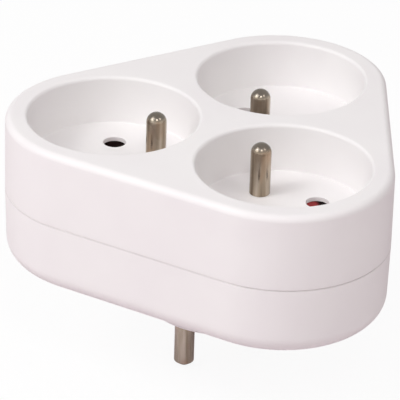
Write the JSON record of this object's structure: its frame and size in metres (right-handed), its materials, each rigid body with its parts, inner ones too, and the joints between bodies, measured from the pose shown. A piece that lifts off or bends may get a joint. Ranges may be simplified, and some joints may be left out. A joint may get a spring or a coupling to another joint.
{
  "type": "multi socket adapter",
  "caption": "Plug-in adapter: a rounded triangular body with shuttered round sockets and earth pins on top, and a round plug with metal pins below.",
  "frame": {"origin": "centre of the plug's flat face, midway between its two pins", "axes": "+Z points away from the wall, from the plug through the body to the sockets' openings; +X runs along the two plug pins; +Y points to the plug's earth hole"},
  "size_m": [0.096, 0.0899, 0.0651],
  "materials": {
    "body_white": "glossy moulded",
    "insulator": "plain moulded",
    "shutter_red": "plain moulded",
    "plug_pin_metal": "nickel-plated brass",
    "earth_pin_metal": "nickel-plated brass",
    "contact_brass": "stamped",
    "spring_steel": "bright strip",
    "screw_steel": "zinc-plated"
  },
  "bodies": {
    "adapter": {"top_housing": "body_white", "bottom_housing": "body_white", "ring_spacer": "insulator", "earth_plate": "contact_brass", "plug_earth_clip": "contact_brass", "housing_screws": "screw_steel", "plug_pin_line": "plug_pin_metal", "line_bus": "contact_brass", "plug_pin_neutral": "plug_pin_metal", "neutral_bus": "contact_brass", "earth_pin_1": "earth_pin_metal", "shutter_spring_1": "spring_steel", "shutter_plate_1": "insulator", "line_clip_1": "contact_brass", "neutral_clip_1": "contact_brass", "earth_pin_2": "earth_pin_metal", "shutter_spring_2": "spring_steel", "shutter_plate_2": "insulator", "line_clip_2": "contact_brass", "neutral_clip_2": "contact_brass", "earth_pin_3": "earth_pin_metal", "shutter_spring_3": "spring_steel", "shutter_plate_3": "insulator", "line_clip_3": "contact_brass", "neutral_clip_3": "contact_brass"},
    "shutter_body_1": {"shutter_1": "shutter_red"},
    "shutter_body_2": {"shutter_2": "shutter_red"},
    "shutter_body_3": {"shutter_3": "shutter_red"}
  },
  "joints": [
    {"name": "shutter_slide_1", "type": "slide", "parent": "adapter", "child": "shutter_body_1", "axis": [0, 1, 0], "range_m": [0, 0.0056], "stiffness_N_per_m": 250, "springref_m": -0.004, "deforming": ["shutter_spring_1"]},
    {"name": "shutter_slide_2", "type": "slide", "parent": "adapter", "child": "shutter_body_2", "axis": [-0.866, -0.5, 0], "range_m": [0, 0.0056], "stiffness_N_per_m": 250, "springref_m": -0.004, "deforming": ["shutter_spring_2"]},
    {"name": "shutter_slide_3", "type": "slide", "parent": "adapter", "child": "shutter_body_3", "axis": [0.866, -0.5, 0], "range_m": [0, 0.0056], "stiffness_N_per_m": 250, "springref_m": -0.004, "deforming": ["shutter_spring_3"]}
  ]
}
